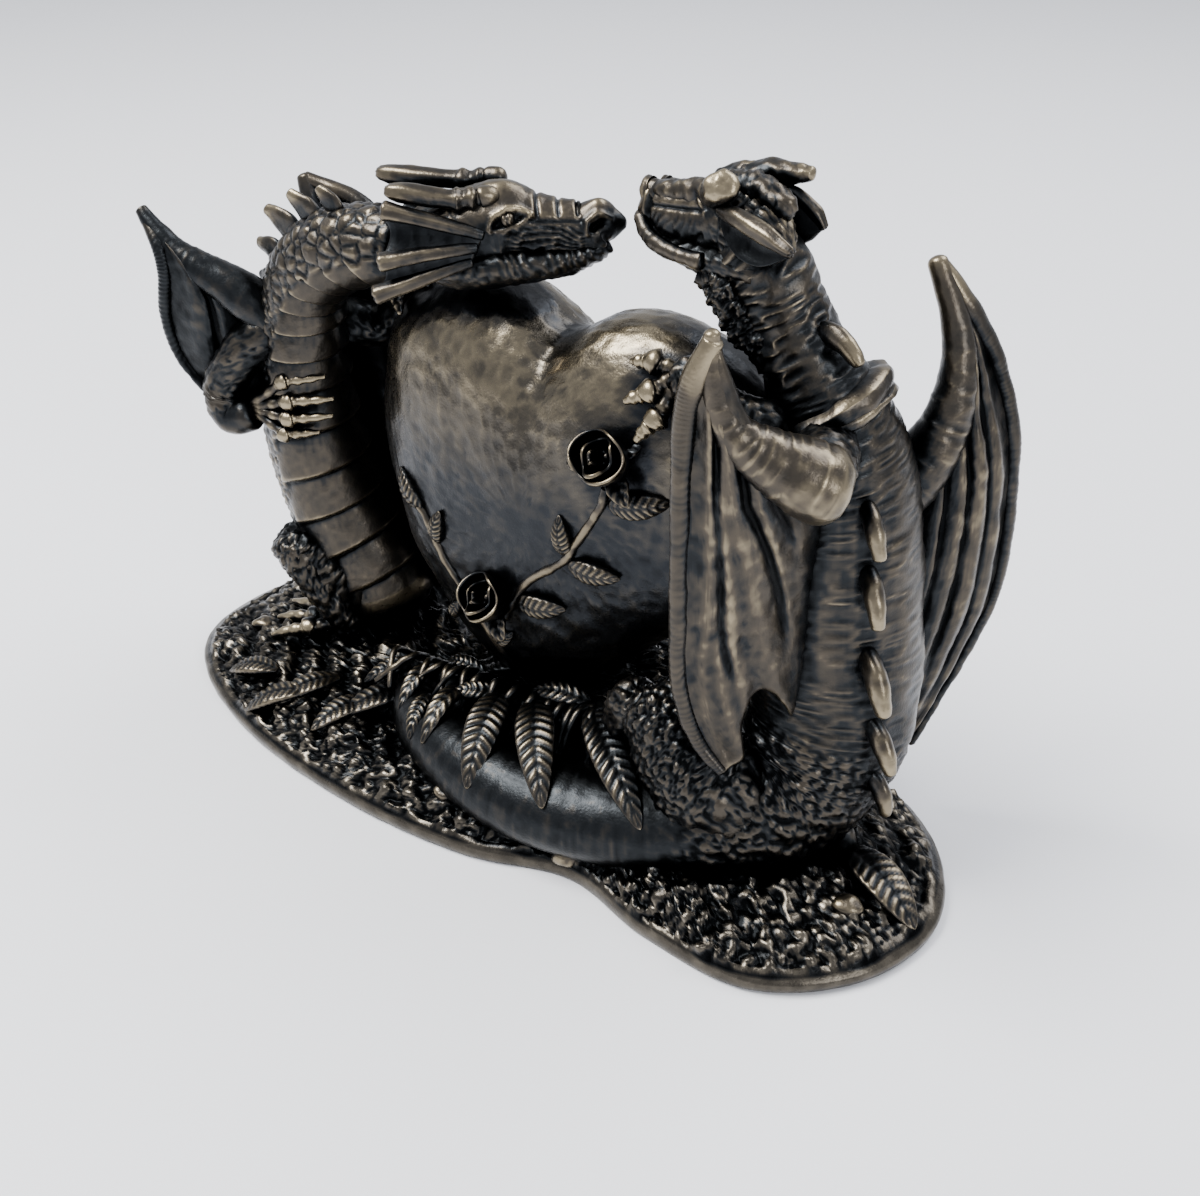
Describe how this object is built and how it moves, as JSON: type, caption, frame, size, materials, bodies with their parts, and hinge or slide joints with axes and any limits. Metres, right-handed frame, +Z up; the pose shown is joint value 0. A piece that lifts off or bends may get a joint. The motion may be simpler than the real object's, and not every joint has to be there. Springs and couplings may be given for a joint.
{
  "type": "dragon statue",
  "caption": "Cast statuette of dragons rearing up to either side of an upright heart, nose to nose, on a rocky oval ground with roses, vines and leaves.",
  "frame": {"origin": "middle of the flat underside", "axes": "+X along the ground from the left dragon to the right one, +Y to the back, +Z up"},
  "size_m": [0.1853, 0.0767, 0.1327],
  "materials": {
    "antiqued_bronze": "antiqued bronze and pewter: near-black in the recesses, rubbed warm and glossy on the raised carving"
  },
  "bodies": {
    "root": {"dragon_statue": "antiqued_bronze"}
  },
  "joints": []
}
